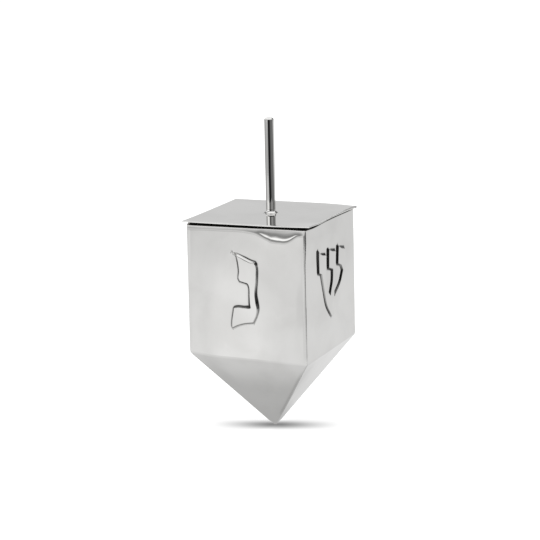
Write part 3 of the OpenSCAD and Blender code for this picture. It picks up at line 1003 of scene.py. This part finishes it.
# painted shadow, in the floor's colour and in its glow
shade = t.math("SUBTRACT", 1.0, t.math("MULTIPLY", wide, deep), clamp=True)
level = t.math("MULTIPLY", shade, t.math("MULTIPLY_ADD", grain, 0.01, 0.99))
colour = t.node("ShaderNodeCombineColor")
for i in range(3):
    t.put(colour.inputs[i], t.math("MULTIPLY", level, 0.15))
t.put(b.inputs["Base Color"], colour.outputs[0])
b.inputs["Roughness"].default_value = 1.0
b.inputs["Specular IOR Level"].default_value = 0.0
b.inputs["Emission Color"].default_value = (1, 1, 1, 1)
t.put(b.inputs["Emission Strength"], t.math("MULTIPLY", level, t.step(rho, 60.0, 400.0, 0.86, 1.0)))


def flat_mesh(name, points, z, mat):
    me = bpy.data.meshes.new(name)
    me.from_pydata([(x, y, z) for x, y in points], [], [tuple(range(len(points)))])
    me.materials.append(mat)
    o = bpy.data.objects.new(name, me)
    bpy.context.scene.collection.objects.link(o)
    return o


floor = flat_mesh("floor", [(-2, -2), (2, -2), (2, 2), (-2, 2)], -0.00002, fm)
floor.visible_glossy = False

# What the metal sees of the floor: a paler, smooth glowing sheet, seen only in reflections, with a painted shadow round
# the tip; it ends nearer at the front right
cm = bpy.data.materials.new("floor_seen")
cm.use_nodes = True
t = Tree(cm.node_tree)
out = t.node("ShaderNodeOutputMaterial")
em = t.node("ShaderNodeEmission")
t.t.links.new(em.outputs[0], out.inputs[0])
pos = t.node("ShaderNodeNewGeometry").outputs["Position"]
xyz = t.node("ShaderNodeSeparateXYZ")
t.put(xyz.inputs[0], pos)
X, Y = (t.math("MULTIPLY", xyz.outputs[i], 1000.0) for i in (0, 1))
rho = t.math("SQRT", t.math("ADD", t.math("MULTIPLY", X, X), t.math("MULTIPLY", Y, Y)))
az = t.math("MULTIPLY", t.math("ARCTAN2", X, t.math("MULTIPLY", Y, -1.0)), 180 / PI)
# painted shadow round the tip, as the metal sees it
near = t.ramp(Y, [(-60, 1.04), (-32, 1.0), (-20, .95), (-16, .90), (-14, .86), (-12.5, .80), (-11.2, .73), (-10, .68),
                  (-8.5, .655), (-6, .65), (-3, .62), (0, .61), (4, .62), (8, .70), (11, .77), (15, .84),
                  (24, .84), (34, .89), (48, .92), (92, .98), (165, .96), (240, .89)], -60, 240)
sector = t.math("MULTIPLY", t.step(az, -14.0, 14.0), t.math("SUBTRACT", 1.0, t.step(az, 108.0, 126.0)))
fall = t.ramp(rho, [(0, 0.0), (90, 0.0), (130, 0.42), (170, 0.74), (210, 0.88), (250, 0.93)], 0, 250)
dim = t.math("SUBTRACT", 1.0, t.math("MULTIPLY", sector, fall))
left = t.math("MULTIPLY", t.step(az, -140.0, -128.0), t.math("SUBTRACT", 1.0, t.step(az, -75.0, -60.0)))
left = t.math("MULTIPLY", left, t.step(rho, 235.0, 265.0, 0.0, 0.45))
dim = t.math("MULTIPLY", dim, t.math("SUBTRACT", 1.0, left))
# Painted soft patches of the floor in front of the front wall; across is about where on the wall they show
across = t.math("MULTIPLY_ADD", t.math("ADD", Y, 16.0), -0.44, X)
across = t.math("DIVIDE", t.math("SUBTRACT", across, 1.0), t.math("MULTIPLY_ADD", t.math("ADD", Y, 16.0), -0.0019, 1.0))
ahead = t.math("SUBTRACT", 1.0, t.step(Y, -72.0, -55.0))
ahead = t.math("MULTIPLY", ahead, t.step(across, -26.0, -20.0))
ahead = t.math("MULTIPLY", ahead, t.math("SUBTRACT", 1.0, t.step(across, 20.0, 26.0)))
upper = t.ramp(across, [(-20, .86), (-16, .88), (-12, .93), (-8, .95), (-4, .98), (0, 1.03), (4, 1.10), (7, 1.09),
                        (10, 1.05), (14, 1.0), (20, .98)], -20, 20)
lower = t.ramp(across, [(-20, .98), (-15, 1.0), (-12.5, 1.01), (-10, 1.07), (-7, 1.10), (1, 1.10), (4, 1.02),
                        (6.5, .975), (12, .965), (14.5, .90), (20, .88)], -20, 20)
lower = t.math("MULTIPLY", lower, t.ramp(Y, [(-190, 1.0), (-121, 1.05), (-60, 1.05)], -190, -60))
patch = t.math("MULTIPLY_ADD", t.math("SUBTRACT", lower, upper), t.step(Y, -255.0, -185.0), upper)
dim = t.math("MULTIPLY", dim, t.math("MULTIPLY_ADD", t.math("SUBTRACT", patch, 1.0), ahead, 1.0))
far = t.math("MULTIPLY", t.step(rho, 300.0, 345.0), t.math("MULTIPLY", t.step(az, -66.0, -60.0),
                                                           t.math("SUBTRACT", 1.0, t.step(az, -20.0, -10.0))))
dim = t.math("MULTIPLY", dim, t.math("MULTIPLY_ADD", far, -0.18, 1.0))
# painted reflection, slightly darker close behind on the right, which the right face of the point shows near its front
# edge
beside = t.math("MULTIPLY_ADD", Y, -0.24, X)
beside = t.math("MULTIPLY", t.step(beside, -1.3, 1.4), t.math("SUBTRACT", 1.0, t.step(beside, 5.0, 9.0)))
beside = t.math("MULTIPLY", beside, t.math("MULTIPLY", t.step(Y, 6.0, 12.0), t.math("SUBTRACT", 1.0, t.step(Y, 44.0, 56.0))))
dim = t.math("MULTIPLY", dim, t.math("MULTIPLY_ADD", beside, -0.09, 1.0))
t.put(em.inputs["Strength"], t.math("MULTIPLY", t.math("MULTIPLY", near, dim), 0.96))
fan = []
for i in range(0, 360, 3):
    a = math.radians(i)
    deg = (i + 180) % 360 - 180
    r = 0.258 if -13 <= deg <= 122 else 0.40 if -66 <= deg < -13 else 0.9
    fan.append((r * math.sin(a), -r * math.cos(a)))
card = flat_mesh("floor_seen", fan, -0.0003, cm)
card.visible_camera = card.visible_diffuse = card.visible_shadow = False
card.visible_transmission = card.visible_volume_scatter = False
cm.cycles.emission_sampling = fm.cycles.emission_sampling = "NONE"

# --------------------------------------------------------------------------
# World: white behind for the camera; soft bands of light and dark for the metal
world = bpy.data.worlds.new("studio")
bpy.context.scene.world = world
world.use_nodes = True
t = Tree(world.node_tree)
out = t.node("ShaderNodeOutputWorld")
bg = t.node("ShaderNodeBackground")
t.t.links.new(bg.outputs[0], out.inputs[0])
vec = t.node("ShaderNodeTexCoord").outputs["Generated"]
xyz = t.node("ShaderNodeSeparateXYZ")
t.put(xyz.inputs[0], vec)
el = t.math("MULTIPLY", t.math("ARCSINE", xyz.outputs[2]), 180 / PI)
az = t.math("MULTIPLY", t.math("ARCTAN2", xyz.outputs[0], t.math("MULTIPLY", xyz.outputs[1], -1.0)), 180 / PI)
def band(x, a, b, c, d, lo=0.0, hi=1.0):
    """lo outside a to d, hi between b and c."""
    both = t.math("MULTIPLY", t.step(x, a, b), t.math("SUBTRACT", 1.0, t.step(x, c, d)))
    return t.math("MULTIPLY_ADD", both, hi - lo, lo)


front = t.ramp(el, [(-90, 0.75), (-7.9, 0.75), (-7.2, 1.25), (-6.6, 1.25), (-5.7, 0.92), (-4.9, 0.78), (-3.9, 0.61),
                    (-2.9, 0.46), (-1.3, 0.40), (-0.5, 0.5), (0.3, 1.1), (1.1, 1.9), (20, 1.9), (26, 0.03),
                    (44, 0.03), (50, 1.7), (80, 1.7), (86, 0.75), (90, 0.7)], -90, 90)
high = t.ramp(el, [(-90, 0), (20, 0), (26, 0.03), (44, 0.03), (50, 1.7), (80, 1.7), (86, 0.75), (90, 0.7)], -90, 90)
night = t.ramp(az, [(-20, .02), (30, .02), (42, .14), (58, .26), (90, .30), (110, .20), (128, .18)], -20, 128)
over = band(el, 3.0, 7.0, 19.0, 23.0)
night = t.math("MULTIPLY", night, t.math("SUBTRACT", 1.0, t.step(el, 18.0, 24.0)))
night = t.math("MULTIPLY", night, t.math("SUBTRACT", 1.0, over))
mirrored = t.ramp(az, [(-20, .9), (-8, .2), (10, .15), (22, .3), (35, .6), (70, .6), (90, .25), (125, .2), (138, .8)],
                  -20, 138)
night = t.math("MULTIPLY_ADD", over, mirrored, night)
night = t.math("ADD", night, high)
back = t.ramp(el, [(-90, 1.0), (-3, 0.98), (-1, 0.80), (1, 0.94), (13, 0.92), (15, 0.94), (19, 1.6), (57, 1.6),
                   (65, 1.6), (80, 1.6), (86, 0.75), (90, 0.7)], -90, 90)
back = t.math("MULTIPLY", back, t.math("SUBTRACT", 1.0, t.math("MULTIPLY", band(az, -100, -94, -87, -81), over)))
back = t.math("MULTIPLY", back, t.math("SUBTRACT", 1.0, t.math("MULTIPLY", band(az, 129, 134, 141, 146), over)))
# low dark strip behind on the right, which the raised marks' upper bevels and the plate's right edge show
behind = t.math("ADD", t.step(az, 138, 146), t.math("SUBTRACT", 1.0, t.step(az, -178, -172)), clamp=True)
behind = t.math("MULTIPLY", behind, band(el, 13.5, 17.0, 38.0, 46.0))
back = t.math("MULTIPLY", back, t.math("MULTIPLY_ADD", behind, -0.96, 1.0))
side_dim = t.math("MULTIPLY", band(az, -140, -128, -60, -50), t.math("SUBTRACT", 1.0, t.step(el, -4.0, 2.0)))
back = t.math("MULTIPLY", back, t.math("MULTIPLY_ADD", side_dim, -0.45, 1.0))
is_dark = band(az, -20.0, -5.0, 110.0, 128.0)
is_front = t.math("MULTIPLY", t.step(az, -80.0, -58.0), t.math("SUBTRACT", 1.0, t.step(az, -20.0, -5.0)))
is_back = t.math("SUBTRACT", t.math("SUBTRACT", 1.0, is_dark), is_front)
E = t.math("MULTIPLY", front, is_front)
E = t.math("MULTIPLY_ADD", night, is_dark, E)
E = t.math("MULTIPLY_ADD", back, is_back, E)
path = t.node("ShaderNodeLightPath")
level = t.math("MULTIPLY_ADD", t.math("SUBTRACT", E, 0.35), path.outputs["Is Glossy Ray"], 0.35)
level = t.math("MULTIPLY_ADD", t.math("SUBTRACT", 1.0, level), path.outputs["Is Camera Ray"], level)
t.put(bg.inputs["Strength"], level)
world.cycles.sampling_method = "NONE"


def lamp(name, where, size, power, aim_at=(0, 0, 0.0)):
    d = bpy.data.lights.new(name, "AREA")
    d.shape = "DISK"
    d.size = size
    d.energy = power
    o = bpy.data.objects.new(name, d)
    bpy.context.scene.collection.objects.link(o)
    o.location = where
    o.rotation_mode = "QUATERNION"
    o.rotation_quaternion = (Vector(aim_at) - Vector(where)).to_track_quat("-Z", "Y")
    o.visible_glossy = False
    return o


rx, ry = math.cos(AZ), math.sin(AZ)
lamp("left_soft", (-0.62 * rx, -0.62 * ry, 0.5), 0.35, 9.5)
lamp("right_soft", (0.62 * rx, 0.62 * ry, 0.5), 0.35, 9.5)
lamp("top_soft", (0.0, 0.0, 1.4), 0.9, 9.0)

bpy.context.scene.view_settings.view_transform = "Standard"
bpy.context.scene.view_settings.look = "None"
bpy.context.scene.view_settings.exposure = 0.0
bpy.context.scene.view_settings.gamma = 1.0

bpy.context.view_layer.update()
